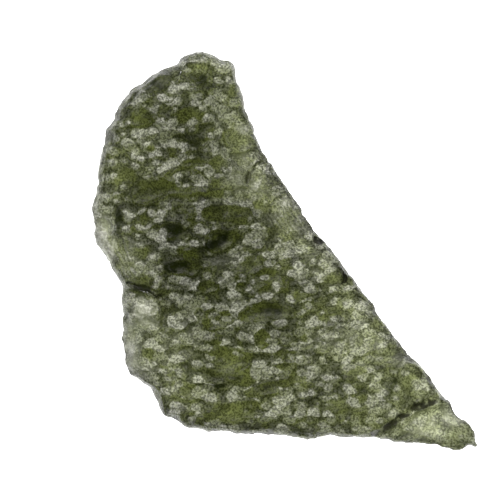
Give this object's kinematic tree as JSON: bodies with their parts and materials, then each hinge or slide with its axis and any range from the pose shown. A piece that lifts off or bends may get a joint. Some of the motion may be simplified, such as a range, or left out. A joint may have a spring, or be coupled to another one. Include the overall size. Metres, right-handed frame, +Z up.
{
  "type": "moldavite",
  "caption": "Natural shard of green impact glass with an etched, scalloped skin, a rounded head and a thin pointed beak, lying on its belly.",
  "frame": {"origin": "on the surface that the stone lies on, under the middle of its bounding box", "axes": "+Z up through the thin way of the stone, +Y towards its rounded head, +X towards its thin beak"},
  "size_m": [0.0348, 0.036, 0.0073],
  "materials": {
    "green_glass": "etched, satin olive green glass, clearer where it is thin"
  },
  "bodies": {
    "root": {"moldavite": "green_glass"}
  },
  "joints": []
}
